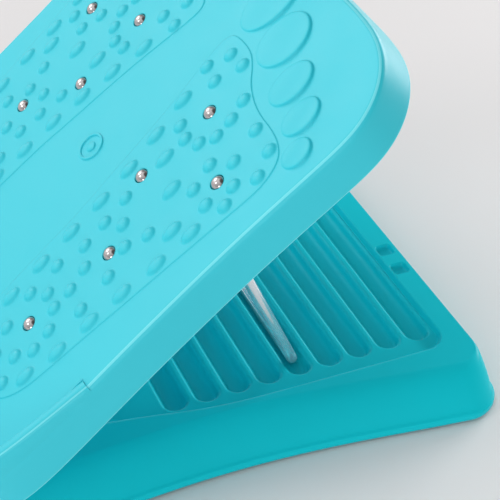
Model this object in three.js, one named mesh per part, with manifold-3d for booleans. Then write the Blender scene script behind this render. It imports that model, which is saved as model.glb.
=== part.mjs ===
// Folding slant board with a foot massage surface.
// A moulded base tray carries nine cross grooves. A ribbed board, hinged to the
// tray at the heel end, is propped up by a bent steel stand whose cross bar sits
// in one of the grooves. Ten captive steel balls roll in cups under the board.
//
// Millimetres. +X runs from the heel (hinge) end to the toe end, +Y is the left
// foot's side, +Z is up. z = 0 is the floor under the rubber feet. Everything is
// laid out with x = 0 below the hinge pin; the whole group is then moved by
// -ORIGIN_X, so the origin is the bottom centre of the assembly's box. The board is
// built flat in its own frame (s along the board from the hinge, y across, n out of
// the foot surface) and is then turned up by BOARD_ANGLE about the hinge pin.

import * as THREE from 'three';
import { mergeVertices } from 'three/addons/utils/BufferGeometryUtils.js';
import Module from 'manifold-3d';

// ------------------------------------------------------------------ dimensions
const BOARD_ANGLE = 39.5;           // board slope with the stand in the fifth groove, degrees
const HINGE_Z = 31.2;               // hinge pin above the floor
const ORIGIN_X = 134.76;            // bottom centre of the assembly's box, from the hinge pin
const PIN_R = 3.0;                  // hinge pin radius
const PIN_HALF = 119;               // half the hinge pin's length
const RUN = 0.1;                    // running clearance of a shaft in its hole

const LOGO_S = 151.5;               // board centre mark, distance from the hinge
const TOP_N = 19;                   // foot surface above the hinge axis
const SKIN = 3;                     // board skin thickness
const RIM_N = -5;                   // lower edge of the board's rim
const RIM_FLARE = 1.5;              // rim leans out by this much at its lower edge
const SOLE_RISE = 0.6;              // raised sole
const TOE_RISE = 1.7;               // raised toe pads
const LIP_START_U = -65;            // heel lip begins here
const LIP_RISE = 14;                // heel lip height at the heel end
const LIP_T = 7;                    // heel lip thickness

const BALL_R = 4.5;                 // steel ball radius
const BALL_N = 17.2;                // ball centre above the hinge axis
const HOLE_R = 4.3;                 // hole the ball shows through
const BORE_R = 5.4;                 // bore under the hole's lip
const CUP_R = 8;                    // ball cup outer radius
const CUP_LOW = 11;                 // ball cup underside
const COLLAR_R = 10;                // collar around each cup

const BASE_LOW = 1.5;               // tray's lower edge above the floor
const BASE_TOP = 25;                // tray's border
const PANEL_Z = 21;                 // ridge tops between the grooves
const GROOVE_PITCH = 19.1;
const GROOVE_MID_X = 193.5;         // fifth groove, the one in use
const GROOVE_W = 6;                 // half width between the groove walls
const GROOVE_ROUND = 2.5;           // rounding of the ridge edges
const GROOVE_DEPTH = 6.1;
const GROOVE_END_Y = 92;            // groove half length

const ROD_R = 3.25;                 // stand rod radius
const LEG_Y = 80;                   // stand legs
const PIVOT_S = 182.8;              // stand pivot along the board
const PIVOT_N = 5;                  // stand pivot above the hinge axis
const FOOT_PAD_R = 9;               // rubber foot radius

// ------------------------------------------------------------------ colours
const TEAL_TOP = 0x62d3e0, TEAL_BASE = 0x2bb5c3, STEEL = 0xdfe6ea, RUBBER = 0x2e3336, CUP = 0x3aa6b2;

const wasm = await Module();
wasm.setup();

const group = new THREE.Group();
group.name = 'slant_board';
group.position.x = -ORIGIN_X;

// ------------------------------------------------------------------ helpers
const rad = (d) => d * Math.PI / 180;

function toSolid(geometry) {
  const g = geometry.clone();
  g.deleteAttribute('normal');
  g.deleteAttribute('uv');
  const m = mergeVertices(g, 1e-4);
  return new wasm.Manifold(new wasm.Mesh({
    numProp: 3,
    vertProperties: new Float32Array(m.attributes.position.array),
    triVerts: new Uint32Array(m.index.array),
  }));
}

function toGeometry(solid) {
  const mesh = solid.getMesh();
  const g = new THREE.BufferGeometry();
  g.setAttribute('position', new THREE.BufferAttribute(new Float32Array(mesh.vertProperties), 3));
  g.setIndex(new THREE.BufferAttribute(new Uint32Array(mesh.triVerts), 1));
  g.computeVertexNormals();
  return g;
}

function join(list) {
  let out = list[0];
  for (let i = 1; i < list.length; i++) out = out.add(list[i]);
  return out;
}

function cutAll(solid, list) {
  let out = solid;
  for (const c of list) out = out.subtract(c);
  return out;
}

// Closed body through horizontal rings of equal point count, lowest ring first,
// each ring counter-clockwise seen from above.
function loft(rings) {
  const n = rings[0].length;
  const pos = [];
  for (const r of rings) for (const p of r) pos.push(p[0], p[1], p[2]);
  const idx = [];
  for (let k = 0; k + 1 < rings.length; k++) {
    for (let i = 0; i < n; i++) {
      const j = (i + 1) % n;
      const a = k * n + i, b = k * n + j, c = (k + 1) * n + j, d = (k + 1) * n + i;
      idx.push(a, b, c, a, c, d);
    }
  }
  const cap = (ring, base, up) => {
    const pts = ring.map((p) => new THREE.Vector2(p[0], p[1]));
    for (const f of THREE.ShapeUtils.triangulateShape(pts, [])) {
      if (up) idx.push(base + f[0], base + f[1], base + f[2]);
      else idx.push(base + f[2], base + f[1], base + f[0]);
    }
  };
  cap(rings[0], 0, false);
  cap(rings[rings.length - 1], (rings.length - 1) * n, true);
  const g = new THREE.BufferGeometry();
  g.setAttribute('position', new THREE.BufferAttribute(new Float32Array(pos), 3));
  g.setIndex(idx);
  return g;
}

// Closed body swept along open list of cross-sections, each a loop of points.
function skinLoops(loops) {
  const n = loops[0].length, m = loops.length;
  const pos = [];
  for (const l of loops) for (const p of l) pos.push(p[0], p[1], p[2]);
  const idx = [];
  for (let k = 0; k + 1 < m; k++) {
    for (let i = 0; i < n; i++) {
      const j = (i + 1) % n;
      idx.push(k * n + i, k * n + j, (k + 1) * n + j, k * n + i, (k + 1) * n + j, (k + 1) * n + i);
    }
  }
  for (let i = 1; i + 1 < n; i++) {
    idx.push(0, i + 1, i);
    idx.push((m - 1) * n, (m - 1) * n + i, (m - 1) * n + i + 1);
  }
  const g = new THREE.BufferGeometry();
  g.setAttribute('position', new THREE.BufferAttribute(new Float32Array(pos), 3));
  g.setIndex(idx);
  return g;
}

function outward(g) {
  const s = toSolid(g);
  if (s.volume() > 0) return s;
  const i = g.index.array;
  for (let k = 0; k < i.length; k += 3) { const t = i[k]; i[k] = i[k + 1]; i[k + 1] = t; }
  return toSolid(g);
}

function box(x0, x1, y0, y1, z0, z1) {
  const g = new THREE.BoxGeometry(x1 - x0, y1 - y0, z1 - z0);
  g.translate((x0 + x1) / 2, (y0 + y1) / 2, (z0 + z1) / 2);
  return toSolid(g);
}

// Upright cylinder.
function post(x, y, z0, z1, r, seg = 16) {
  const g = new THREE.CylinderGeometry(r, r, z1 - z0, seg);
  g.rotateX(Math.PI / 2);
  g.translate(x, y, (z0 + z1) / 2);
  return toSolid(g);
}

// Cylinder along Y.
function roller(x, z, y0, y1, r, seg = 20) {
  const g = new THREE.CylinderGeometry(r, r, y1 - y0, seg);
  g.translate(x, (y0 + y1) / 2, z);
  return toSolid(g);
}

// Shape in the X-Z plane, extruded along Y from y0 to y1.
function slab(points, y0, y1, holes = []) {
  const shape = new THREE.Shape(points.map((p) => new THREE.Vector2(p[0], p[1])));
  for (const h of holes) {
    const path = new THREE.Path();
    path.absarc(h[0], h[1], h[2], 0, 2 * Math.PI, true);
    shape.holes.push(path);
  }
  const g = new THREE.ExtrudeGeometry(shape, { depth: y1 - y0, bevelEnabled: false, curveSegments: 10 });
  g.rotateX(Math.PI / 2);
  g.translate(0, y1, 0);
  return toSolid(g);
}

// Flat body, polygon in the X-Y plane extruded from z0 to z1.
function plate(points, z0, z1) {
  const shape = new THREE.Shape(points.map((p) => new THREE.Vector2(p[0], p[1])));
  const g = new THREE.ExtrudeGeometry(shape, { depth: z1 - z0, bevelEnabled: false });
  g.translate(0, 0, z0);
  return toSolid(g);
}

function lathe(profile, seg = 16) {
  const g = new THREE.LatheGeometry(profile.map((p) => new THREE.Vector2(p[0], p[1])), seg);
  g.rotateX(Math.PI / 2);
  return g;
}

// Offsets a closed counter-clockwise outline outwards by d.
function offset(outline, d) {
  const n = outline.length;
  return outline.map((p, i) => {
    const a = outline[(i + n - 1) % n], b = outline[(i + 1) % n];
    const e1 = [p[0] - a[0], p[1] - a[1]], e2 = [b[0] - p[0], b[1] - p[1]];
    const l1 = Math.hypot(...e1), l2 = Math.hypot(...e2);
    const n1 = [e1[1] / l1, -e1[0] / l1], n2 = [e2[1] / l2, -e2[0] / l2];
    const m = [n1[0] + n2[0], n1[1] + n2[1]];
    const k = 2 / (m[0] * m[0] + m[1] * m[1]);
    return [p[0] + m[0] * k * d, p[1] + m[1] * k * d];
  });
}

const at = (outline, z) => outline.map((p) => [p[0], p[1], z]);

// Mirrors a half outline (y <= 0, heel to toe) into a closed counter-clockwise one.
function bothSides(half) {
  const out = half.map((p) => [p[0], -p[1]]);
  for (let i = half.length - 1; i >= 0; i--) out.push([half[i][0], half[i][1]]);
  return out;
}

function addMesh(name, geometry, colour, roughness, metalness, matrix) {
  const g = geometry;
  if (matrix) g.applyMatrix4(matrix);
  g.computeVertexNormals();
  const mesh = new THREE.Mesh(g, new THREE.MeshStandardMaterial({ color: colour, roughness, metalness }));
  mesh.name = name;
  group.add(mesh);
  return mesh;
}

// Board frame (s, y, n) to the part frame.
const boardMatrix = new THREE.Matrix4().makeTranslation(0, 0, HINGE_Z)
  .multiply(new THREE.Matrix4().makeRotationY(-rad(BOARD_ANGLE)));

function boardPoint(s, y, n) {
  const v = new THREE.Vector3(s, y, n).applyMatrix4(boardMatrix);
  return [v.x, v.y, v.z];
}

// ------------------------------------------------------------------ foot board
// Board outline at the foot surface, half width against distance u from the mark.
const BOARD_HALF = [
  [-162, 106], [-160.2, 118], [-155.5, 128], [-147, 135.6], [-136, 140], [-118, 142], [-95, 141.6],
  [-65, 140.2], [-35, 139.3], [0, 139], [35, 139.4], [62, 140.6], [85, 142], [103, 142.8],
  [115, 141.8], [126, 138.2], [136, 131.8], [144.2, 123], [150.3, 112], [153.8, 99], [155.2, 84], [155.6, 66],
].map(([u, h]) => [u + LOGO_S, h]);
const boardOutline = bothSides(BOARD_HALF);

// Sole outline of one foot, (u, |v|), counter-clockwise when v is positive.
const SOLE = [
  [101, 22], [101.5, 40], [97.5, 50], [88.8, 62.5], [83.8, 80], [83.8, 102], [80, 115], [72.5, 121],
  [60, 123.8], [40, 121.6], [5, 117.8], [-35, 113.8], [-57, 111.2], [-90, 108.4], [-105, 105], [-117, 96],
  [-125, 84], [-128, 70], [-125, 56], [-116, 44.5], [-103, 38.6], [-80, 36.6], [-35, 35], [-20, 33.8],
  [5, 30.5], [22.5, 28.8], [50, 25], [70, 21], [87.5, 17.5], [96, 17.5],
];
// Toe pads, (u, |v|, half length along u, half width).
const TOES = [
  [127, 22, 21.5, 15.3], [117.8, 53.5, 17.8, 15.5], [106, 83, 14.4, 11.2], [99, 106.5, 12.2, 9.6], [86, 123.7, 9.2, 8.2],
];
// Massage nubs, (u, |v|, long along u or not).
const NUBS = [
  [91.8, 31.3, 0], [93, 45, 0], [78, 24.2, 0], [76.3, 38, 0], [82, 66.3, 0], [70.8, 70.5, 0], [59.5, 71.8, 0],
  [50, 65.8, 0], [77.5, 90, 0], [76.3, 108.8, 0], [63.8, 117, 0], [56.8, 30, 1], [47.5, 44.3, 0], [45.5, 55, 0],
  [48, 84.5, 0], [58.8, 95.8, 0], [51.3, 108.8, 0], [42, 115, 0], [34.3, 104.5, 0], [33.8, 89.3, 0],
  [33.8, 35, 1], [30.8, 54.5, 1], [24.3, 77, 1], [20, 112, 1], [12.5, 100.5, 1], [11.3, 39.5, 1],
  [1.3, 55, 0], [-7.5, 69.3, 0], [1.3, 89.3, 0], [-13, 83.3, 0], [-3.8, 110.8, 1], [-11.3, 42, 1],
  [-15.5, 57.5, 0], [-34.5, 43, 1], [-31.3, 59.3, 0], [-37.5, 72.5, 0], [-28.8, 91.3, 0], [-27, 108, 1],
  [-50.5, 55, 0], [-50.5, 77, 0], [-50.5, 94.5, 0], [-49.5, 106.3, 1], [-58, 43.8, 1], [-62.5, 66.3, 0],
  [-63, 78.3, 0], [-71.3, 55.8, 0], [-71.3, 88.3, 0], [-72.5, 105, 1], [-83.8, 90.8, 0], [-94.5, 101, 1],
  [-95, 83.8, 0], [-82, 45.5, 1], [-92, 62, 0], [-104, 50, 0], [-105, 72, 0], [-108, 92, 0], [-117, 62, 0], [-118, 80, 0],
];
// Ball seats, (u, |v|).
const BALLS = [[64.2, 53], [14.9, 50.4], [45.8, 97.6], [-22.1, 77.3], [-79.8, 72.2]];

function ellipse(cx, cy, a, b, seg, z) {
  const out = [];
  for (let i = 0; i < seg; i++) {
    const t = (i + 0.5) / seg * 2 * Math.PI;
    out.push([cx + a * Math.cos(t), cy + b * Math.sin(t), z]);
  }
  return out;
}

function nub(u, v, long) {
  const a = long ? 5.9 : 4, b = 3.8, s = u + LOGO_S, z = TOP_N + SOLE_RISE, seg = 6;
  return outward(loft([ellipse(s, v, a * 1.1, b * 1.1, seg, z - 0.5), ellipse(s, v, a * 0.55, b * 0.5, seg, z + 1.8)]));
}

function footBoard() {
  const shell = outward(loft([
    at(offset(boardOutline, RIM_FLARE), RIM_N), at(offset(boardOutline, 0.5), 8), at(boardOutline, TOP_N - 3.2),
    at(offset(boardOutline, -0.8), TOP_N - 1), at(offset(boardOutline, -2.4), TOP_N),
  ]));
  const cavity = outward(loft([
    at(offset(boardOutline, RIM_FLARE - SKIN), RIM_N - 1), at(offset(boardOutline, 0.5 - SKIN), 8),
    at(offset(boardOutline, -SKIN - 0.6), TOP_N - SKIN),
  ]));
  let body = shell.subtract(cavity);

  // Heel lip: a wall standing on the board's edge, rising towards the heel.
  const start = LOGO_S + LIP_START_U;
  const heelPts = [];
  const n = boardOutline.length, half = n / 2;
  const lipIndex = BOARD_HALF.filter((p) => p[0] <= start + 0.1).length;
  for (let i = lipIndex - 1; i >= 0; i--) heelPts.push(i);                // +y side, towards the heel
  for (let i = 0; i < lipIndex; i++) heelPts.push(n - 1 - i);             // then the -y side
  const lipOut = offset(boardOutline, -0.8), lipIn = offset(boardOutline, -LIP_T), lipTop = offset(boardOutline, -2);
  const lipInTop = offset(boardOutline, -LIP_T + 1.2);
  const loops = heelPts.map((i) => {
    const s = boardOutline[i][0];
    const h = 1.2 + LIP_RISE * Math.min(1, (start - s) / 88);
    const ins = lipIn[i], top = TOP_N + h;
    return [[lipOut[i][0], lipOut[i][1], TOP_N - 1.5], [lipOut[i][0], lipOut[i][1], top - 1.2], [lipTop[i][0], lipTop[i][1], top],
      [lipInTop[i][0], lipInTop[i][1], top], [ins[0], ins[1], top - 1.2], [ins[0], ins[1], TOP_N - 1.5]];
  });
  body = body.add(outward(skinLoops(loops)));

  // Raised soles, toe pads, nubs and the plain round mark.
  const raised = [];
  for (const side of [1, -1]) {
    raised.push(outward(plateFrom(SOLE.map(([u, v]) => [u + LOGO_S, side * v]), TOP_N - 0.7, TOP_N + SOLE_RISE)));
    for (const [u, v, a, b] of TOES) {
      raised.push(outward(loft([ellipse(u + LOGO_S, side * v, a, b, 14, TOP_N - 0.7),
        ellipse(u + LOGO_S, side * v, a, b, 14, TOP_N + TOE_RISE - 0.6),
        ellipse(u + LOGO_S, side * v, a - 0.9, b - 0.9, 14, TOP_N + TOE_RISE)])));
    }
  }
  for (const r of raised) body = body.add(r);
  for (const side of [1, -1]) for (const [u, v, long] of NUBS) body = body.add(nub(u, side * v, long));
  const ring = lathe([[7.2, -0.7], [8.4, -0.7], [8.4, 0.5], [7.2, 0.5], [7.2, -0.7]], 20);
  ring.translate(LOGO_S, 0, TOP_N);
  body = body.add(outward(ring));
  body = body.add(post(LOGO_S, 0, TOP_N - 0.7, TOP_N + 0.5, 3, 12));

  // Stiffening ribs under the skin, shallow enough for the stand to fold below them.
  const ribs = [];
  for (const y of [-116, -34, 0, 34, 116]) ribs.push(box(14, LOGO_S + 150, y - 1.2, y + 1.2, 10, TOP_N - SKIN + 0.5));
  for (const s of [46, 100, 148, 240, 275]) ribs.push(box(s - 1.2, s + 1.2, -139, 139, 10, TOP_N - SKIN + 0.5));
  let frame = join(ribs).intersect(outward(loft([
    at(offset(boardOutline, -2), 9), at(offset(boardOutline, -2), TOP_N - 1),
  ])));
  body = body.add(frame);

  // Ball collars, screw bosses of the two saddles, and hinge webs.
  for (const side of [1, -1]) {
    for (const [u, v] of BALLS) body = body.add(post(u + LOGO_S, side * v, CUP_LOW + 0.6, TOP_N - SKIN + 0.5, COLLAR_R, 14));
    for (const ds of [-15, 15]) body = body.add(post(PIVOT_S + ds, side * 67.5, 9.6, TOP_N - SKIN + 0.5, 4.6, 12));
  }
  const web = [[-7, TOP_N - SKIN + 0.5], [-7, 0], [-6.2, -3.2], [-4, -5.9], [0, -7], [4, -5.9], [6.6, -2.6], [16, 10], [20, TOP_N - SKIN + 0.5]];
  for (const y of [-112, -88, -12.5, 12.5, 88, 112]) body = body.add(slab(web, y - 2, y + 2));

  // Cuts: ball holes and bores, screw pilots, hinge holes, and windows for the tray's lugs.
  const cuts = [];
  for (const side of [1, -1]) {
    for (const [u, v] of BALLS) {
      cuts.push(post(u + LOGO_S, side * v, 15, TOP_N + 3, HOLE_R, 16));
      cuts.push(post(u + LOGO_S, side * v, 15, TOP_N + 0.4, BORE_R, 16));
      cuts.push(post(u + LOGO_S, side * v, 5, TOP_N - SKIN, CUP_R + 0.3, 16));
    }
    for (const ds of [-15, 15]) cuts.push(post(PIVOT_S + ds, side * 67.5, 5, 14.6, 2.1, 10));
  }
  for (const y of [-112, -88, -12.5, 12.5, 88, 112]) cuts.push(roller(0, 0, y - 3, y + 3, (PIN_R + RUN) / Math.cos(Math.PI / 20), 20));
  for (const y of [-100, 0, 100]) cuts.push(box(-20, -5, y - 8.4, y + 8.4, -12, 13));
  return cutAll(body, cuts);
}

function plateFrom(points, z0, z1) {
  let pts = points;
  let area = 0;
  for (let i = 0; i < pts.length; i++) {
    const a = pts[i], b = pts[(i + 1) % pts.length];
    area += a[0] * b[1] - b[0] * a[1];
  }
  if (area < 0) pts = pts.slice().reverse();
  return loft([at(pts, z0), at(pts, z1 - 0.4), at(offset(pts, -0.5), z1)]);
}

addMesh('foot_board', toGeometry(footBoard()), TEAL_TOP, 0.42, 0.0, boardMatrix);

// ------------------------------------------------------------------ balls and cups
const SIDES = [['left', 1], ['right', -1]];
const SPOTS = ['toe_ball', 'arch_front', 'outer_front', 'arch_rear', 'heel'];
for (const [sideName, side] of SIDES) {
  BALLS.forEach(([u, v], i) => {
    const ball = new THREE.SphereGeometry(BALL_R, 10, 8);
    ball.translate(u + LOGO_S, side * v, BALL_N);
    addMesh(`massage_ball_${sideName}_${SPOTS[i]}`, toGeometry(outward(mergeVertices(strip(ball), 1e-4))), STEEL, 0.12, 1.0, boardMatrix);

    const pocket = BALL_R + 0.5;
    const prof = [[0, CUP_LOW], [CUP_R, CUP_LOW], [CUP_R, TOP_N - SKIN - 0.3]];
    const topN = TOP_N - SKIN - 0.3;
    const a0 = Math.asin((BALL_N - topN) / pocket);
    for (let k = 0; k <= 3; k++) {
      const a = a0 + (Math.PI / 2 - a0) * k / 3;
      prof.push([k === 3 ? 0 : pocket * Math.cos(a), BALL_N - pocket * Math.sin(a)]);
    }
    const cup = lathe(prof, 12);
    cup.translate(u + LOGO_S, side * v, 0);
    addMesh(`ball_cup_${sideName}_${SPOTS[i]}`, toGeometry(outward(mergeVertices(strip(cup), 1e-4))), CUP, 0.5, 0.0, boardMatrix);
  });
}

function strip(g) {
  const c = g.clone();
  c.deleteAttribute('normal');
  c.deleteAttribute('uv');
  return c;
}

// ------------------------------------------------------------------ base tray
// Tray outline at the floor, half width against x.
function trayRing(x0, x1, inset, corner, z) {
  const table = [[-14, 138], [20, 137.2], [60, 134.6], [95, 132.6], [127, 132], [151, 133], [181, 135.2], [211, 139], [231, 142], [256, 146], [280, 149], [300, 150.5]];
  const hw = (x) => {
    for (let i = 0; i + 1 < table.length; i++) {
      if (x <= table[i + 1][0]) {
        const t = (x - table[i][0]) / (table[i + 1][0] - table[i][0]);
        return table[i][1] + (table[i + 1][1] - table[i][1]) * t - inset;
      }
    }
    return table[table.length - 1][1] - inset;
  };
  const half = [];
  for (let k = 0; k <= 4; k++) {
    const a = Math.PI / 2 * k / 4, r = 12;
    half.push([x0 + r - r * Math.cos(a), hw(x0 + r) - r + r * Math.sin(a)]);
  }
  for (const t of [0.14, 0.27, 0.4, 0.52, 0.64, 0.76, 0.86]) { const x = x0 + (x1 - x0) * t; half.push([x, hw(x)]); }
  for (let k = 0; k <= 5; k++) {
    const a = Math.PI / 2 * k / 5;
    half.push([x1 - corner + corner * Math.sin(a), hw(x1 - corner) - corner + corner * Math.cos(a)]);
  }
  return at(bothSides(half), z);
}

function groove(x) {
  // Trough with round ends: rings from the floor of the groove up past the ridge tops.
  const prof = [[GROOVE_DEPTH, 2], [GROOVE_DEPTH * 0.8, 4.6], [GROOVE_ROUND, GROOVE_W],
    [0.9, GROOVE_W + 0.8], [-0.01, GROOVE_W + 2.4], [-0.6, GROOVE_W + 2.45]];
  const rings = prof.map(([d, w]) => {
    const pts = [];
    const e = GROOVE_END_Y - GROOVE_W;
    for (let k = 0; k <= 5; k++) { const a = Math.PI * k / 5; pts.push([x + w * Math.cos(a), e + w * Math.sin(a), PANEL_Z - d]); }
    for (let k = 0; k <= 5; k++) { const a = Math.PI + Math.PI * k / 5; pts.push([x + w * Math.cos(a), -e + w * Math.sin(a), PANEL_Z - d]); }
    return pts;
  });
  return outward(loft(rings));
}

function pit(x, y) {
  const ring = (r, h, z) => {
    const out = [];
    for (const [cx, cy, a0] of [[1, 1, 0], [-1, 1, 90], [-1, -1, 180], [1, -1, 270]]) {
      for (const da of [0, 45, 90]) {
        const a = rad(a0 + da);
        out.push([x + cx * (h - r) + r * Math.cos(a), y + cy * (h - r) + r * Math.sin(a), z]);
      }
    }
    return out;
  };
  return outward(loft([ring(2, 3.6, BASE_TOP - 3), ring(2.6, 5, BASE_TOP - 1.8), ring(3, 5.9, BASE_TOP + 0.02), ring(3, 6, BASE_TOP + 1)]));
}

function baseTray() {
  const x0 = -14, x1 = 298;
  const outer = outward(loft([
    trayRing(x0 + 0.6, x1 - 0.6, 0.6, 22, BASE_LOW), trayRing(x0, x1, 0, 22, BASE_LOW + 1),
    trayRing(x0, x1, 0, 22, BASE_LOW + 4.6), trayRing(x0 + 0.6, x1 - 0.8, 1.6, 21, BASE_LOW + 5.6),
    trayRing(x0 + 1.6, x1 - 2, 12, 19, 17.5), trayRing(x0 + 3, x1 - 3, 20, 17, 23.2),
    trayRing(x0 + 4, x1 - 4, 24, 15, BASE_TOP),
  ]));
  const hollow = outward(loft([
    trayRing(x0 + 3, x1 - 3, 3, 19, BASE_LOW - 1), trayRing(x0 + 3.4, x1 - 4, 6, 18, 8), trayRing(x0 + 4, x1 - 5, 12, 17, 12),
  ]));
  let body = outer.subtract(hollow);

  // Sunken panel between the borders, with sloping walls.
  const px0 = 66, px1 = GROOVE_MID_X + 4 * GROOVE_PITCH + 8.6;
  const rect = (gx, gy, r, z) => {
    const out = [], q = r + 29;            // the heel-side corners are rounder
    for (const [cx, cy, a0, c] of [[px1 + gx - r, 101 + gy - r, 0, r], [px0 - gx + q, 101 + gy - q, 90, q], [px0 - gx + q, -101 - gy + q, 180, q], [px1 + gx - r, -101 - gy + r, 270, r]]) {
      for (const da of [0, 22.5, 45, 67.5, 90]) {
        const a = rad(a0 + da);
        out.push([cx + c * Math.cos(a), cy + c * Math.sin(a), z]);
      }
    }
    return out;
  };
  body = body.subtract(outward(loft([rect(0, 0, 7, PANEL_Z), rect(1, 1, 8, PANEL_Z + 1), rect(4, 4, 10, PANEL_Z + 3.4), rect(6.5, 6, 12, BASE_TOP + 0.02), rect(6.6, 6.1, 12, BASE_TOP + 1)])));
  for (let i = 0; i < 9; i++) body = body.subtract(groove(GROOVE_MID_X + (i - 4) * GROOVE_PITCH));
  body = body.subtract(pit(286.8, -13)).subtract(pit(286.8, -33));

  // Space for the board's heel rim to swing in, then the lugs and the feet bosses.
  body = body.subtract(slab([[-30, 17], [13, 17], [19, BASE_TOP + 1], [-30, BASE_TOP + 1]], -150, 150));
  for (const y of [-100, 0, 100]) {
    const lug = [[-8, 15], [8, 15], [6.2, HINGE_Z - 3], [6.5, HINGE_Z], [5.6, HINGE_Z + 3.3], [3.3, HINGE_Z + 5.6], [0, HINGE_Z + 6.5],
      [-3.3, HINGE_Z + 5.6], [-5.6, HINGE_Z + 3.3], [-6.5, HINGE_Z], [-6.2, HINGE_Z - 3]];
    body = body.add(slab(lug, y - 7, y + 7));
    body = body.subtract(roller(0, HINGE_Z, y - 9, y + 9, (PIN_R + RUN) / Math.cos(Math.PI / 20), 20));
  }
  for (const [x, y] of FEET) {
    body = body.add(post(x, y, BASE_LOW + 0.3, 12.5, FOOT_PAD_R + 3, 18));
    body = body.subtract(post(x, y, -1, 5, FOOT_PAD_R + 0.3, 18));
  }
  for (const x of [60, 140, 220]) body = body.add(box(x - 1.2, x + 1.2, -120, 120, 4, 12.5));
  for (const y of [-60, 0, 60]) body = body.add(box(-8, 290, y - 1.2, y + 1.2, 4, 12.5));
  return body;
}

const FEET = [[14, -112], [14, 112], [272, -118], [272, 118]];
addMesh('base_tray', toGeometry(baseTray()), TEAL_BASE, 0.45, 0.0);

FEET.forEach(([x, y], i) => {
  const end = i < 2 ? 'heel' : 'toe', side = y > 0 ? 'left' : 'right';
  const g = lathe([[0, 0], [FOOT_PAD_R - 0.8, 0], [FOOT_PAD_R, 0.8], [FOOT_PAD_R, 4.7], [0, 4.7]], 18);
  g.translate(x, y, 0);
  addMesh(`rubber_foot_${end}_${side}`, toGeometry(outward(mergeVertices(strip(g), 1e-4))), RUBBER, 0.9, 0.0);
});

// ------------------------------------------------------------------ hinge pin and its caps
addMesh('hinge_pin', toGeometry(roller(0, HINGE_Z, -PIN_HALF, PIN_HALF, PIN_R, 20)), STEEL, 0.25, 1.0);
for (const [sideName, side] of SIDES) {
  // Push-on cap: a cup over the pin's end.
  const prof = [[0, 0], [5.2, 0], [5.6, -0.6], [5.6, -4.4], [3.3, -4.4], [3.3, -1.5], [0, -1.5]];
  const g = new THREE.LatheGeometry(prof.map((p) => new THREE.Vector2(p[0], p[1])), 16);
  if (side < 0) g.rotateX(Math.PI);
  g.translate(0, side * (PIN_HALF + 1.8), HINGE_Z);
  addMesh(`hinge_pin_cap_${sideName}`, toGeometry(outward(mergeVertices(strip(g), 1e-4))), RUBBER, 0.6, 0.0);
}

// ------------------------------------------------------------------ stand
const pivot = boardPoint(PIVOT_S, 0, PIVOT_N);
const barZ = PANEL_Z - GROOVE_DEPTH + ROD_R + 0.3;
const bar = [GROOVE_MID_X, 0, barZ];

// Rod centre line: stub at the left saddle, left leg, cross bar, right leg, right stub.
function rodPath() {
  const P = new THREE.Vector3(pivot[0], 0, pivot[2]), B = new THREE.Vector3(bar[0], 0, bar[2]);
  const down = B.clone().sub(P).normalize(), y = new THREE.Vector3(0, 1, 0);
  const pts = [];
  const corner = (c, from, to, r, steps) => {
    // Fillet of radius r at corner c between unit directions from (arriving) and to (leaving).
    const a = c.clone().addScaledVector(from, -r), centre = a.clone().addScaledVector(to, r);
    for (let k = 0; k <= steps; k++) {
      const t = Math.PI / 2 * k / steps;
      pts.push(centre.clone().addScaledVector(to, -r * Math.cos(t)).addScaledVector(from, r * Math.sin(t)));
    }
  };
  const side = (s) => y.clone().multiplyScalar(s);
  pts.push(P.clone().addScaledVector(y, 60));
  corner(P.clone().addScaledVector(y, LEG_Y), side(1), down, 5.5, 3);
  corner(B.clone().addScaledVector(y, LEG_Y), down, side(-1), 7, 6);
  corner(B.clone().addScaledVector(y, -LEG_Y), side(-1), down.clone().negate(), 7, 6);
  corner(P.clone().addScaledVector(y, -LEG_Y), down.clone().negate(), side(1), 5.5, 3);
  pts.push(P.clone().addScaledVector(y, -60));
  return pts;
}

function sweepRod(pts, r, seg) {
  // The path is planar: one frame axis stays normal to its plane.
  const P = new THREE.Vector3(pivot[0], 0, pivot[2]), B = new THREE.Vector3(bar[0], 0, bar[2]);
  const normal = B.clone().sub(P).normalize().cross(new THREE.Vector3(0, 1, 0)).normalize();
  const loops = pts.map((p, i) => {
    const t = new THREE.Vector3();
    if (i > 0) t.add(p.clone().sub(pts[i - 1]).normalize());
    if (i + 1 < pts.length) t.add(pts[i + 1].clone().sub(p).normalize());
    t.normalize();
    const side = t.clone().cross(normal).normalize();
    const loop = [];
    for (let k = 0; k < seg; k++) {
      const a = (k + 0.5) / seg * 2 * Math.PI;
      const q = p.clone().addScaledVector(normal, r * Math.cos(a)).addScaledVector(side, r * Math.sin(a));
      loop.push([q.x, q.y, q.z]);
    }
    return loop;
  });
  return skinLoops(loops);
}
addMesh('stand_bail', toGeometry(outward(sweepRod(rodPath(), ROD_R, 12))), STEEL, 0.1, 1.0);

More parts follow.
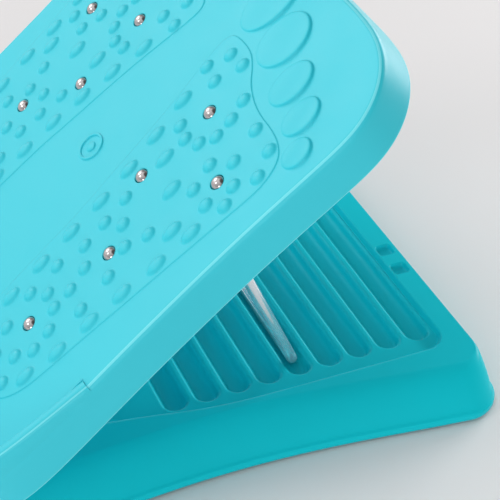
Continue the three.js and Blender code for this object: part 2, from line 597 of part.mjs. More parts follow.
// Saddles that carry the stand under the board, and their screws.
for (const [sideName, side] of SIDES) {
  const c = [];
  for (let k = 0; k <= 8; k++) { const a = Math.PI + Math.PI * k / 8; c.push([PIVOT_S + 6.6 * Math.cos(a), PIVOT_N + 0.4 + 6.6 * Math.sin(a)]); }
  const shape = [[PIVOT_S - 20, 9.3], [PIVOT_S - 20, 6.3], [PIVOT_S - 7, 6.3], ...c, [PIVOT_S + 7, 6.3], [PIVOT_S + 20, 6.3], [PIVOT_S + 20, 9.3],
    [PIVOT_S + 6.6, 9.3], [PIVOT_S + 4.6, 11.6], [PIVOT_S - 4.6, 11.6], [PIVOT_S - 6.6, 9.3]];
  let saddle = outward(slabGeometry(shape, 62.5, 72.5));
  saddle = saddle.subtract(roller(PIVOT_S, PIVOT_N, 60, 75, (ROD_R + RUN) / Math.cos(Math.PI / 20), 20));
  for (const ds of [-15, 15]) saddle = saddle.subtract(post(PIVOT_S + ds, 67.5, 0, 12, 2.1, 10));
  const g = toGeometry(saddle);
  if (side < 0) mirrorY(g);
  addMesh(`stand_saddle_${sideName}`, g, CUP, 0.5, 0.0, boardMatrix);
  [['heelward', -15], ['toeward', 15]].forEach(([where, ds]) => {
    const prof = [[0, 3.6], [2.6, 3.7], [3.5, 4.6], [3.5, 6.0], [1.7, 6.0], [1.7, 12.6], [0, 14]];
    const s = lathe(prof, 8);
    s.translate(PIVOT_S + ds, side * 67.5, 0);
    addMesh(`saddle_screw_${sideName}_${where}`, toGeometry(outward(mergeVertices(strip(s), 1e-4))), STEEL, 0.35, 1.0, boardMatrix);
  });
}

function slabGeometry(points, y0, y1) {
  const shape = new THREE.Shape(points.map((p) => new THREE.Vector2(p[0], p[1])));
  const g = new THREE.ExtrudeGeometry(shape, { depth: y1 - y0, bevelEnabled: false });
  g.rotateX(Math.PI / 2);
  g.translate(0, y1, 0);
  return mergeVertices(strip(g), 1e-4);
}

function mirrorY(g) {
  const p = g.attributes.position;
  for (let i = 0; i < p.count; i++) p.setY(i, -p.getY(i));
  const idx = g.index.array;
  for (let k = 0; k < idx.length; k += 3) { const t = idx[k]; idx[k] = idx[k + 1]; idx[k + 1] = t; }
}

export default group;
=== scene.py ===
import bpy, math
from mathutils import Vector, Matrix
from mathutils.geometry import tessellate_polygon


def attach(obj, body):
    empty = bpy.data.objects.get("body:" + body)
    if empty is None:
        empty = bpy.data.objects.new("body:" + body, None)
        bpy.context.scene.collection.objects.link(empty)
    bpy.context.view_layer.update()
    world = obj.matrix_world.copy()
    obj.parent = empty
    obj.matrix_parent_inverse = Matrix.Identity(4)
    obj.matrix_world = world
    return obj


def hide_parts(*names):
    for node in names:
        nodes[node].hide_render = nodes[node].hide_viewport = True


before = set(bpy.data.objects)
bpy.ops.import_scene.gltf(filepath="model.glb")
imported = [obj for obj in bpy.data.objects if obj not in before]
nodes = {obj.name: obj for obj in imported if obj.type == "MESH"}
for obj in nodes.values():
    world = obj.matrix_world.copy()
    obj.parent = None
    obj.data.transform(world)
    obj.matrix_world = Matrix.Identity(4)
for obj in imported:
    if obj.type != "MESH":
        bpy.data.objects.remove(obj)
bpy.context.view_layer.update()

# ------------------------------------------------------------------ dimensions (mm), as in the CAD
TH = math.radians(39.5)
HINGE_Z, ORIGIN_X = 31.2, 134.76
LOGO = 151.5
TOP, SKIN, RIM_N = 19.0, 3.0, -5.0
RISE = 0.6
BALL_R, BALL_N = 4.5, 17.2
HOLE_R, BORE_R, CUP_R, CUP_LOW, COLLAR_R = 4.3, 5.4, 8.0, 11.0, 10.0
BASE_LOW, BASE_TOP, PANEL = 1.5, 25.0, 21.0
PITCH, MID_X = 19.1, 193.5
GROOVE_DEPTH, GROOVE_END = 6.1, 92.0
ROD_R, LEG_Y = 3.25, 80.0
PIVOT_S, PIVOT_N = 182.8, 5.0
LIP_START = LOGO - 65.0


def B(s, y, n):
    """Board frame, mm, to the row frame, metres."""
    return ((s * math.cos(TH) - n * math.sin(TH) - ORIGIN_X) / 1000, y / 1000,
            (s * math.sin(TH) + n * math.cos(TH) + HINGE_Z) / 1000)


def P(x, y, z):
    """Tray frame, mm, to the row frame, metres."""
    return ((x - ORIGIN_X) / 1000, y / 1000, z / 1000)


# ------------------------------------------------------------------ mesh code
class Build:
    def __init__(self, place):
        self.v, self.f, self.place, self.kind = [], [], place, {}

    def add(self, verts, faces, kinds=None):
        o = len(self.v)
        for i, k in enumerate(kinds or ()):
            if k:
                self.kind[len(self.f) + i] = k
        self.v += [self.place(*p) for p in verts]
        self.f += [tuple(i + o for i in f) for f in faces]

    def loft(self, rings, flip=False, cap0=False, cap1=False, closed=True):
        """Skin through rings of equal count. Rings are counter-clockwise seen from above; going up, faces look out."""
        n, m = len(rings[0]), len(rings)
        verts = [p for r in rings for p in r]
        faces = []
        for k in range(m - 1):
            for i in range(n if closed else n - 1):
                j = (i + 1) % n
                q = (k * n + i, k * n + j, (k + 1) * n + j, (k + 1) * n + i)
                faces.append(q[::-1] if flip else q)
        if cap0:
            q = tuple(range(n))
            faces.append(q if flip else q[::-1])
        if cap1:
            q = tuple(range((m - 1) * n, m * n))
            faces.append(q[::-1] if flip else q)
        self.add(verts, faces)

    def cap(self, loops, up=True):
        """Flat face with holes: the first loop is the outline, the others are holes, all at one height."""
        tris = tessellate_polygon([[Vector(p) for p in l] for l in loops])
        pts = [p for l in loops for p in l]
        faces = []
        for t in tris:
            a, b, c = (pts[i] for i in t)
            area = (b[0] - a[0]) * (c[1] - a[1]) - (b[1] - a[1]) * (c[0] - a[0])
            if abs(area) < 1e-9:
                continue
            faces.append(tuple(t) if (area > 0) == up else tuple(t)[::-1])
        self.add(pts, faces)

    def object(self, name, material, body, replaced=(), slot=None, sharp=40.0, second=None):
        mesh = bpy.data.meshes.new(name)
        mesh.from_pydata(self.v, [], self.f)
        for i, k in self.kind.items():
            mesh.polygons[i].material_index = k
        mesh.validate()
        for p in mesh.polygons:
            p.use_smooth = True
        mesh.set_sharp_from_angle(angle=math.radians(sharp))
        mesh.materials.append(material)
        if second:
            mesh.materials.append(second)
        ob = bpy.data.objects.new(name, mesh)
        bpy.context.scene.collection.objects.link(ob)
        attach(ob, body)
        if replaced:
            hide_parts(*replaced)
        return ob


def chaikin(pts, times):
    for _ in range(times):
        out = []
        for i, p in enumerate(pts):
            q = pts[(i + 1) % len(pts)]
            out.append((p[0] * .75 + q[0] * .25, p[1] * .75 + q[1] * .25))
            out.append((p[0] * .25 + q[0] * .75, p[1] * .25 + q[1] * .75))
        pts = out
    return pts


def offset(pts, d):
    n, out = len(pts), []
    for i, p in enumerate(pts):
        a, b = pts[i - 1], pts[(i + 1) % n]
        e1, e2 = (p[0] - a[0], p[1] - a[1]), (b[0] - p[0], b[1] - p[1])
        l1, l2 = math.hypot(*e1), math.hypot(*e2)
        m = (e1[1] / l1 + e2[1] / l2, -e1[0] / l1 - e2[0] / l2)
        k = 2 / (m[0] * m[0] + m[1] * m[1])
        out.append((p[0] + m[0] * k * d, p[1] + m[1] * k * d))
    return out


def at(pts, z):
    return [(p[0], p[1], z) for p in pts]


def both_sides(half):
    return [(x, -y) for x, y in half] + [(x, y) for x, y in reversed(half)]


def ccw(pts):
    area = sum(pts[i][0] * pts[(i + 1) % len(pts)][1] - pts[(i + 1) % len(pts)][0] * pts[i][1] for i in range(len(pts)))
    return pts if area > 0 else pts[::-1]


def circle(x, y, r, n, z, a=1.0, b=1.0):
    return [(x + r * a * math.cos(2 * math.pi * i / n), y + r * b * math.sin(2 * math.pi * i / n), z) for i in range(n)]


def stadium(x, e, w, z, n=14):
    """Round-ended outline along Y: half width w, end centres at y = -e and e."""
    out = [(x + w * math.cos(math.pi * k / n), e + w * math.sin(math.pi * k / n), z) for k in range(n + 1)]
    out += [(x + w * math.cos(math.pi + math.pi * k / n), -e + w * math.sin(math.pi + math.pi * k / n), z) for k in range(n + 1)]
    return out


def rounded(x0, x1, y0, y1, r, z, n=8, r0=None):
    """Rectangle with corners of radius r, or of radius r0 at the low x end."""
    out, q = [], r if r0 is None else r0
    for cx, cy, a0, r in ((x1 - r, y1 - r, 0, r), (x0 + q, y1 - q, 90, q), (x0 + q, y0 + q, 180, q), (x1 - r, y0 + r, 270, r)):
        for k in range(n + 1):
            a = math.radians(a0 + 90 * k / n)
            out.append((cx + r * math.cos(a), cy + r * math.sin(a), z))
    return out


# ------------------------------------------------------------------ materials
def new_material(name):
    m = bpy.data.materials.new(name)
    m.use_nodes = True
    nt = m.node_tree
    bsdf = nt.nodes["Principled BSDF"]
    return m, nt, bsdf


def srgb(r, g, b):
    f = lambda c: (c / 255 / 12.92) if c / 255 <= 0.04045 else ((c / 255 + 0.055) / 1.055) ** 2.4
    return (f(r), f(g), f(b), 1.0)


def moulded(name, colour, rough=0.36, grain=0.00022, strength=0.12, tone=0.035, specular=0.5, sss=0.0):
    """Satin moulded plastic: faint tone drift from the melt, fine spark-eroded grain, slightly uneven gloss."""
    m, nt, b = new_material(name)
    tex = nt.nodes.new("ShaderNodeTexCoord")
    drift = nt.nodes.new("ShaderNodeTexNoise")
    drift.inputs["Scale"].default_value = 9.0
    drift.inputs["Detail"].default_value = 3.0
    nt.links.new(tex.outputs["Object"], drift.inputs["Vector"])
    ramp = nt.nodes.new("ShaderNodeMix")
    ramp.data_type = "RGBA"
    dark = tuple(c * (1 - tone) for c in colour[:3]) + (1.0,)
    light = tuple(min(1.0, c * (1 + tone)) for c in colour[:3]) + (1.0,)
    ramp.inputs["A"].default_value = dark
    ramp.inputs["B"].default_value = light
    nt.links.new(drift.outputs["Fac"], ramp.inputs["Factor"])
    nt.links.new(ramp.outputs["Result"], b.inputs["Base Color"])
    gloss = nt.nodes.new("ShaderNodeTexNoise")
    gloss.inputs["Scale"].default_value = 55.0
    gloss.inputs["Detail"].default_value = 4.0
    nt.links.new(tex.outputs["Object"], gloss.inputs["Vector"])
    mr = nt.nodes.new("ShaderNodeMapRange")
    mr.inputs["From Min"].default_value = 0.3
    mr.inputs["From Max"].default_value = 0.7
    mr.inputs["To Min"].default_value = rough - 0.035
    mr.inputs["To Max"].default_value = rough + 0.035
    nt.links.new(gloss.outputs["Fac"], mr.inputs["Value"])
    nt.links.new(mr.outputs["Result"], b.inputs["Roughness"])
    fine = nt.nodes.new("ShaderNodeTexNoise")
    fine.inputs["Scale"].default_value = 1 / grain / 2
    fine.inputs["Detail"].default_value = 2.0
    nt.links.new(tex.outputs["Object"], fine.inputs["Vector"])
    bump = nt.nodes.new("ShaderNodeBump")
    bump.inputs["Strength"].default_value = strength
    bump.inputs["Distance"].default_value = 0.00004
    nt.links.new(fine.outputs["Fac"], bump.inputs["Height"])
    nt.links.new(bump.outputs["Normal"], b.inputs["Normal"])
    b.inputs["Specular IOR Level"].default_value = specular
    if sss:
        b.inputs["Subsurface Weight"].default_value = sss
        b.inputs["Subsurface Radius"].default_value = (0.4, 1.0, 1.0)
        b.inputs["Subsurface Scale"].default_value = 0.002
    return m


def metal(name, colour, rough=0.08, scale=900.0, stretch=(1, 1, 1), strength=0.05):
    """Polished or drawn metal: fine lines, faint gloss drift."""
    m, nt, b = new_material(name)
    tex = nt.nodes.new("ShaderNodeTexCoord")
    mp = nt.nodes.new("ShaderNodeMapping")
    mp.inputs["Scale"].default_value = stretch
    nt.links.new(tex.outputs["Object"], mp.inputs["Vector"])
    lines = nt.nodes.new("ShaderNodeTexNoise")
    lines.inputs["Scale"].default_value = scale
    lines.inputs["Detail"].default_value = 3.0
    nt.links.new(mp.outputs["Vector"], lines.inputs["Vector"])
    mr = nt.nodes.new("ShaderNodeMapRange")
    mr.inputs["To Min"].default_value = max(0.02, rough - 0.03)
    mr.inputs["To Max"].default_value = rough + 0.04
    nt.links.new(lines.outputs["Fac"], mr.inputs["Value"])
    nt.links.new(mr.outputs["Result"], b.inputs["Roughness"])
    tone = nt.nodes.new("ShaderNodeMix")
    tone.data_type = "RGBA"
    tone.inputs["A"].default_value = tuple(c * 0.93 for c in colour[:3]) + (1.0,)
    tone.inputs["B"].default_value = colour
    nt.links.new(lines.outputs["Fac"], tone.inputs["Factor"])
    nt.links.new(tone.outputs["Result"], b.inputs["Base Color"])
    bump = nt.nodes.new("ShaderNodeBump")
    bump.inputs["Strength"].default_value = strength
    bump.inputs["Distance"].default_value = 0.00002
    nt.links.new(lines.outputs["Fac"], bump.inputs["Height"])
    nt.links.new(bump.outputs["Normal"], b.inputs["Normal"])
    b.inputs["Metallic"].default_value = 1.0
    return m


board_mat = moulded("board_plastic", srgb(50, 199, 215), rough=0.42, strength=0.10, specular=0.36)
# Painted highlight: a lighter teal for thin bands along the board's rounded edges, standing in for the bright line
# where those edges catch the light.
painted_highlight_mat = moulded("board_plastic_painted_highlight", srgb(110, 222, 234), rough=0.40, strength=0.06, specular=0.4)
tray_mat = moulded("tray_plastic", srgb(18, 203, 216), rough=0.34, strength=0.10, specular=0.07)
cup_mat = moulded("cup_plastic", srgb(46, 160, 172), rough=0.45, strength=0.14)
chrome_mat = metal("rod_chrome", (0.86, 0.89, 0.92, 1.0), rough=0.16, scale=700, stretch=(1, 0.04, 1), strength=0.03)
chrome_mat.node_tree.nodes["Principled BSDF"].inputs["Metallic"].default_value = 0.82
ball_mat = metal("ball_steel", (0.53, 0.49, 0.49, 1.0), rough=0.09, scale=1500, strength=0.03)
pin_mat = metal("pin_steel", (0.62, 0.64, 0.66, 1.0), rough=0.22, scale=1200, stretch=(1, 0.03, 1), strength=0.08)
screw_mat = metal("screw_steel", (0.60, 0.62, 0.63, 1.0), rough=0.30, scale=1800, strength=0.10)
rubber_mat = moulded("foot_rubber", srgb(42, 45, 48), rough=0.72, grain=0.0005, strength=0.35, tone=0.12, specular=0.3)
cap_mat = moulded("cap_rubber", srgb(48, 50, 53), rough=0.6, grain=0.0004, strength=0.25, tone=0.10, specular=0.35)

# ------------------------------------------------------------------ foot board
BOARD_HALF = [(u + LOGO, h) for u, h in (
    (-162, 106), (-160.2, 118), (-155.5, 128), (-147, 135.6), (-136, 140), (-118, 142), (-95, 141.6),
    (-65, 140.2), (-35, 139.3), (0, 139), (35, 139.4), (62, 140.6), (85, 142), (103, 142.8),
    (115, 141.8), (126, 138.2), (136, 131.8), (144.2, 123), (150.3, 112), (153.8, 99), (155.2, 84), (155.6, 66))]
SOLE = [
    (101, 22), (101.5, 40), (97.5, 50), (88.8, 62.5), (83.8, 80), (83.8, 102), (80, 115), (72.5, 121),
    (60, 123.8), (40, 121.6), (5, 117.8), (-35, 113.8), (-57, 111.2), (-90, 108.4), (-105, 105), (-117, 96),
    (-125, 84), (-128, 70), (-125, 56), (-116, 44.5), (-103, 38.6), (-80, 36.6), (-35, 35), (-20, 33.8),
    (5, 30.5), (22.5, 28.8), (50, 25), (70, 21), (87.5, 17.5), (96, 17.5)]
TOES = [(127, 22, 21.5, 15.3), (117.8, 53.5, 17.8, 15.5), (106, 83, 14.4, 11.2), (99, 106.5, 12.2, 9.6), (86, 123.7, 9.2, 8.2)]
NUBS = [
    (91.8, 31.3, 0), (93, 45, 0), (78, 24.2, 0), (76.3, 38, 0), (82, 66.3, 0), (70.8, 70.5, 0), (59.5, 71.8, 0),
    (50, 65.8, 0), (77.5, 90, 0), (76.3, 108.8, 0), (63.8, 117, 0), (56.8, 30, 1), (47.5, 44.3, 0), (45.5, 55, 0),
    (48, 84.5, 0), (58.8, 95.8, 0), (51.3, 108.8, 0), (42, 115, 0), (34.3, 104.5, 0), (33.8, 89.3, 0),
    (33.8, 35, 1), (30.8, 54.5, 1), (24.3, 77, 1), (20, 112, 1), (12.5, 100.5, 1), (11.3, 39.5, 1),
    (1.3, 55, 0), (-7.5, 69.3, 0), (1.3, 89.3, 0), (-13, 83.3, 0), (-3.8, 110.8, 1), (-11.3, 42, 1),
    (-15.5, 57.5, 0), (-34.5, 43, 1), (-31.3, 59.3, 0), (-37.5, 72.5, 0), (-28.8, 91.3, 0), (-27, 108, 1),
    (-50.5, 55, 0), (-50.5, 77, 0), (-50.5, 94.5, 0), (-49.5, 106.3, 1), (-58, 43.8, 1), (-62.5, 66.3, 0),
    (-63, 78.3, 0), (-71.3, 55.8, 0), (-71.3, 88.3, 0), (-72.5, 105, 1), (-83.8, 90.8, 0), (-94.5, 101, 1),
    (-95, 83.8, 0), (-82, 45.5, 1), (-92, 62, 0), (-104, 50, 0), (-105, 72, 0), (-108, 92, 0), (-117, 62, 0), (-118, 80, 0)]
BALLS = [(64.2, 53), (14.9, 50.4), (45.8, 97.6), (-22.1, 77.3), (-79.8, 72.2)]
BALL_AT = [(u + LOGO, side * v) for side in (1, -1) for u, v in BALLS]
SIDES = (("left", 1), ("right", -1))
SPOTS = ("toe_ball", "arch_front", "outer_front", "arch_rear", "heel")

WINDOWS = (-100.0, 0.0, 100.0)          # openings in the heel rim for the tray's lugs
WIN_HALF, WIN_TOP = 8.4, 13.0


def with_edges(pts, ys, s_max):
    """Adds points where the heel end of the outline crosses the given y values."""
    out = []
    for i, p in enumerate(pts):
        q = pts[(i + 1) % len(pts)]
        out.append(p)
        if p[0] < s_max and q[0] < s_max:
            cuts = [y for y in ys if (p[1] - y) * (q[1] - y) < 0]
            for y in sorted(cuts, key=lambda v: abs(v - p[1])):
                t = (y - p[1]) / (q[1] - p[1])
                out.append((p[0] + (q[0] - p[0]) * t, y))
    return out


outline = with_edges(chaikin(both_sides(BOARD_HALF), 3), [c + d for c in WINDOWS for d in (-WIN_HALF, WIN_HALF)], 0.0)


def toe_slope(t):
    """The pads rise from the face on the inner side to full height on the outer."""
    t = min(1.0, max(0.0, 0.5 + 0.62 * t))
    return 0.10 + 0.98 * t * t * (3 - 2 * t)


def in_window(p, q):
    m = ((p[0] + q[0]) / 2, (p[1] + q[1]) / 2)
    return m[0] < 0 and any(abs(m[1] - c) < WIN_HALF for c in WINDOWS)


def foot_board():
    b = Build(B)
    # Skin, rim and inner wall, one surface from the foot face over the edge and up inside.
    profile = [(-3.4, TOP), (-2.8, TOP), (-2.15, TOP - 0.12), (-1.52, TOP - 0.48), (-1.02, TOP - 0.93), (-0.57, TOP - 1.48), (-0.2, TOP - 2.15), (0, TOP - 2.95),
               (0.16, WIN_TOP), (0.5, 8), (0.85, 4), (1.15, 0), (1.38, -3), (1.5, -4.1), (1.44, -4.6), (1.2, -4.9), (0.8, RIM_N),
               (-0.8, RIM_N), (-1.2, -4.9), (-1.44, -4.6), (-1.5, -4.1), (-1.75, 0), (-2.4, 8), (-2.9, WIN_TOP), (-3.5, 15),
               (-4.4, 15.8), (-5.6, TOP - SKIN), (-6.6, TOP - SKIN)]
    n, rings = len(outline), [at(offset(outline, d), h) for d, h in profile]
    # Painted highlight: faces on these rings, at the rounding of the rim's top edge and of its bottom edge, take the
    # lighter material.
    PAINTED_HIGHLIGHT_RINGS = [k for k, (d, h) in enumerate(profile[:-1]) if h in (TOP - 0.12, TOP - 0.48) or (d, h) in ((1.5, -4.1), (1.44, -4.6))]
    low = [k for k, (d, h) in enumerate(profile) if h <= WIN_TOP]
    verts, faces = [p for r in rings for p in r], []
    kinds = []
    for k in range(len(rings) - 1):
        for i in range(n):
            j = (i + 1) % n
            if k in low and k + 1 in low and in_window(outline[i], outline[j]):
                continue
            faces.append(((k + 1) * n + i, (k + 1) * n + j, k * n + j, k * n + i))
            kinds.append(1 if k in PAINTED_HIGHLIGHT_RINGS else 0)
    for i in range(n):                       # window heads and jambs
        j, h = (i + 1) % n, (i - 1) % n
        if in_window(outline[i], outline[j]):
            faces.append((low[0] * n + i, low[0] * n + j, low[-1] * n + j, low[-1] * n + i))
            if not in_window(outline[h], outline[i]):
                faces.append(tuple(k * n + i for k in low))
        elif in_window(outline[h], outline[i]):
            faces.append(tuple(k * n + i for k in reversed(low)))
    b.add(verts, faces, kinds)
    b.cap([at(offset(outline, -3.4), TOP)] + [circle(s, y, BORE_R, 32, TOP) for s, y in BALL_AT])
    b.cap([at(offset(outline, -6.6), TOP - SKIN)] + [circle(s, y, BORE_R, 32, TOP - SKIN) for s, y in BALL_AT], up=False)

    # Heel lip, rising from the step towards the heel end.
    sel = [i for i, p in enumerate(outline) if p[0] <= LIP_START]
    n = len(outline)
    order = sorted(sel, key=lambda i: (i - n // 2) % n)          # runs round the heel without a break
    lip = [(0.0, -4.0, 0), (0.0, -1.5, 0), (-0.3, -2.25, 1), (-0.55, -1.7, 1), (-1.0, -1.12, 1), (-1.6, -0.52, 1), (-2.3, -0.14, 1), (-2.95, 0, 1), (-4.6, 0, 1), (-5.4, -0.2, 1),
           (-6.05, -0.7, 1), (-6.4, -1.5, 1), (-7.0, 0.9, 0), (-7.5, 0.3, 0), (-8.3, 0.02, 0), (-9.0, 0.0, 0)]
    rings = {d: offset(outline, d) for d, _, _ in lip}
    loops = []
    for i in order:
        s = outline[i][0]
        t = min(1.0, (LIP_START - s) / 88)
        top = TOP + 0.85 + 14.35 * t
        loop = []
        for d, h, up in lip:
            q = rings[d][i]
            z = top + h if up else TOP + h
            if up:
                z = max(z, TOP + 0.02 * (1 if h == 0 else 0) - (0.0 if h == 0 else 0.3))
            loop.append((q[0], q[1], z))
        loops.append(loop)
    m = len(lip)
    verts = [p for l in loops for p in l]
    faces, kinds = [], []
    for k in range(len(loops) - 1):
        for j in range(m - 1):
            faces.append((k * m + j, k * m + j + 1, (k + 1) * m + j + 1, (k + 1) * m + j))
            # Painted highlight: the band on the lip's rounded outer top edge takes the lighter material.
            kinds.append(1 if j == 4 else 0)
    faces.append(tuple(range(m))[::-1])
    faces.append(tuple(range((len(loops) - 1) * m, len(loops) * m)))
    b.add(verts, faces, kinds)

    # Raised soles with the ball holes, and toe pads.
    TOE_STEP = [(0.9, 0.0), (0.45, 0.05), (0.16, 0.28), (0.0, 0.68), (-0.12, 1.08), (-0.4, 1.4), (-0.95, 1.6), (-2.2, 1.7)]
    step = [(0.8, 0.0), (0.35, 0.05), (0.1, 0.17), (0.0, 0.33), (-0.08, 0.47), (-0.3, 0.57), (-0.8, RISE), (-1.5, RISE)]
    for side in (1, -1):
        sole = chaikin(ccw([(u + LOGO, side * v) for u, v in SOLE]), 2)
        b.loft([at(offset(sole, d), TOP + h) for d, h in step])
        holes = [(s, y) for s, y in BALL_AT if y * side > 0]
        b.cap([at(offset(sole, -1.5), TOP + RISE)] + [circle(s, y, HOLE_R + 1.1, 48, TOP + RISE) for s, y in holes])
        for s, y in holes:
            b.loft([circle(s, y, r, 48, n) for r, n in ((HOLE_R + 1.1, TOP + RISE), (HOLE_R + 0.5, TOP + RISE), (HOLE_R + 0.15, TOP + RISE - 0.08),
                    (HOLE_R, TOP + RISE - 0.25), (HOLE_R, TOP + 0.4), (BORE_R, TOP + 0.38), (BORE_R, TOP - SKIN), (COLLAR_R - 1.7, TOP - SKIN - 0.02),
                    (COLLAR_R - 1.7, CUP_LOW + 0.9), (COLLAR_R - 1.4, CUP_LOW + 0.6), (COLLAR_R - 0.3, CUP_LOW + 0.6), (COLLAR_R, CUP_LOW + 0.9),
                    (COLLAR_R, TOP - SKIN))], flip=True)
        for u, v, la, lb in TOES:
            rings = ([circle(0, 0, 1, 64, h, la + d, lb + d) for d, h in TOE_STEP] +
                     [circle(0, 0, 1, 64, h, (la - 2.2) * k, (lb - 2.2) * k) for k, h in ((0.8, 1.74), (0.5, 1.78), (0.02, 1.8))])
            b.loft([[(x + u + LOGO, y + side * v, TOP + z * toe_slope(0.42 * x / la + 0.9 * side * y / lb)) for x, y, z in r] for r in rings], cap1=True)
        # Nubs: low domes with a small fillet at the foot.
        for u, v, long in NUBS:
            a = 1.62 if long else 1.0
            base = TOP + RISE
            prof = [(4.75, -0.02), (4.35, 0.06), (4.0, 0.28), (3.65, 0.72), (3.2, 1.2), (2.55, 1.62), (1.75, 1.9), (0.9, 2.04), (0.02, 2.08)]
            b.loft([circle(u + LOGO, side * v, 1, 32, base + h, r + (2.4 * (r / 4.35) ** 0.6 if long else 0.25), r) for r, h in prof], cap1=True)

    # Plain round mark in the middle: a raised ring and a low button.
    b.loft([circle(LOGO, 0, r, 72, TOP + h) for r, h in ((9.1, 0.0), (8.75, 0.07), (8.6, 0.38), (8.48, 0.82), (8.2, 1.02), (7.4, 1.02), (7.12, 0.82), (7.0, 0.38), (6.85, 0.07), (6.5, 0.0))])
    b.loft([circle(LOGO, 0, r, 48, TOP + h) for r, h in ((3.6, 0.0), (3.2, 0.07), (3.05, 0.38), (2.95, 0.72), (2.7, 0.9), (1.2, 0.98), (0.02, 1.0))], cap1=True)

    # Underside: ribs, screw bosses, hinge webs.
    def bar(s0, s1, y0, y1, n0, n1, e=0.35):
        b.loft([[(s0 + d, y0 + d, n), (s1 - d, y0 + d, n), (s1 - d, y1 - d, n), (s0 + d, y1 - d, n)] for d, n in ((e, n0), (0, n0 + e), (0, n1))], cap0=True)
    half_at = lambda s: min((abs(p[1]) for p in outline if abs(p[0] - s) < 4), default=139) - 2.2
    for y in (-116, -34, 0, 34, 116):
        bar(14, LOGO + (141 if abs(y) > 100 else 149), y - 1.2, y + 1.2, 10, TOP - SKIN)
    for s in (46, 100, 148, 240, 275):
        h = half_at(s)
        bar(s - 1.2, s + 1.2, -h, h, 10, TOP - SKIN)
    for side in (1, -1):
        for ds in (-15, 15):
            x, y = PIVOT_S + ds, side * 67.5
            b.loft([circle(x, y, r, 24, n) for r, n in ((2.1, 14.6), (2.1, 9.9), (2.4, 9.6), (4.3, 9.6), (4.6, 9.9), (4.6, TOP - SKIN))], flip=False)
    web = [(-7, 16.5), (-7, 0)] + [(7 * math.cos(a), 7 * math.sin(a)) for a in [math.pi + k * math.pi / 16 for k in range(1, 15)]] + [(16, 10), (20, 16.5)]
    for y in (-112, -88, -12.5, 12.5, 88, 112):
        for (y0, y1) in ((y - 2, y + 2),):
            k = len(web)
            verts = [(s, y0, n) for s, n in web] + [(s, y1, n) for s, n in web]
            faces = [(i, (i + 1) % k, k + (i + 1) % k, k + i) for i in range(k)]
            b.add(verts, faces + [tuple(range(k))[::-1], tuple(range(k, 2 * k))])
    return b


fb = foot_board().object("foot_board_moulding", board_mat, "board", ["foot_board"], "board_plastic", sharp=38, second=painted_highlight_mat)

# ------------------------------------------------------------------ steel balls
for side_name, side in SIDES:
    for (u, v), spot in zip(BALLS, SPOTS):
        b = Build(B)
        x, y = u + LOGO, side * v
        rings = []
        for k in range(25):
            a = -math.pi / 2 + math.pi * k / 24
            rings.append(circle(x, y, max(0.01, BALL_R * math.cos(a)), 40, BALL_N + BALL_R * math.sin(a)))
        b.loft(rings, cap0=True, cap1=True)
        name = f"massage_ball_{side_name}_{spot}"
        b.object(name + "_polished", ball_mat, f"ball_{side_name}_{spot}", [name], "ball_steel", sharp=60)

# ------------------------------------------------------------------ base tray
TABLE = [(-14, 138), (20, 137.2), (60, 134.6), (95, 132.6), (127, 132), (151, 133), (181, 135.2), (211, 139), (231, 142), (256, 146), (280, 149), (300, 150.5)]


def half_width(x):
    for (xa, ha), (xb, hb) in zip(TABLE, TABLE[1:]):
        if x <= xb:
            t = (x - xa) / (xb - xa)
            return ha + (hb - ha) * t
    return TABLE[-1][1]


def ceiling(x):
    """Top of the tray: it drops at the heel end so that the board's rim can swing."""
    return 17.0 if x <= 13 else min(BASE_TOP, 17.0 + (x - 13) * 8.0 / 6.0)


def tray_ring(x0, x1, inset, corner, z, drop=True):
    half = []
    for k in range(13):
        a, r = math.pi / 2 * k / 12, 12
        half.append((x0 + r - r * math.cos(a), half_width(x0 + r) - inset - r + r * math.sin(a)))
    for x in [6, 9.5, 13, 14.5, 16, 17.5, 19, 21] + [26 + 10 * k for k in range(25)]:
        h = sum(half_width(x + d) for d in (-20, -10, 0, 10, 20)) / 5 if x > 30 else half_width(x)
        half.append((x, h - inset))
    for k in range(17):
        a = math.pi / 2 * k / 16
        half.append((x1 - corner + corner * math.sin(a), half_width(x1 - corner) - inset - corner + corner * math.cos(a)))
    return [(x, y, min(z, ceiling(x)) if drop else z) for x, y in both_sides(half)]


X0, X1 = -14, 298
# Heel end inset, toe end inset, side inset, corner radius, height.
FLANK = [(4, 5, 12, 17, 12), (3.4, 4, 6, 18, 8), (3.0, 3.2, 3.2, 19, 2.2), (2.8, 2.9, 2.9, 19, BASE_LOW + 0.15), (2.4, 2.4, 2.4, 20, BASE_LOW),
         (0.9, 0.9, 0.9, 21.4, BASE_LOW), (0.3, 0.3, 0.3, 21.8, BASE_LOW + 0.3),
         (0, 0, 0, 22, BASE_LOW + 1.0), (0, 0, 0, 22, BASE_LOW + 3.9), (0.08, 0.1, 0.15, 22, BASE_LOW + 4.4), (0.3, 0.4, 0.65, 21.8, BASE_LOW + 4.8),
         (0.55, 0.75, 1.4, 21.4, BASE_LOW + 5.1), (0.8, 1.0, 2.4, 21, BASE_LOW + 5.9), (1.0, 1.3, 4.4, 20.5, BASE_LOW + 8.2),
         (1.3, 1.6, 8.2, 19.8, BASE_LOW + 12.3), (1.7, 2.0, 12, 19, BASE_LOW + 16.0), (2.3, 2.4, 15.4, 18, BASE_LOW + 18.9), (2.8, 2.8, 18.6, 17, BASE_LOW + 21.2),
         (3.1, 3.1, 20.8, 16.2, BASE_LOW + 22.3), (3.4, 3.4, 22.6, 15.6, BASE_LOW + 23.0), (3.7, 3.7, 23.8, 15.2, BASE_TOP - 0.08), (4.0, 4.0, 24.6, 15, BASE_TOP)]
PX0, PX1 = 52.0, MID_X + 4 * PITCH + 9.1
YP = 101.0
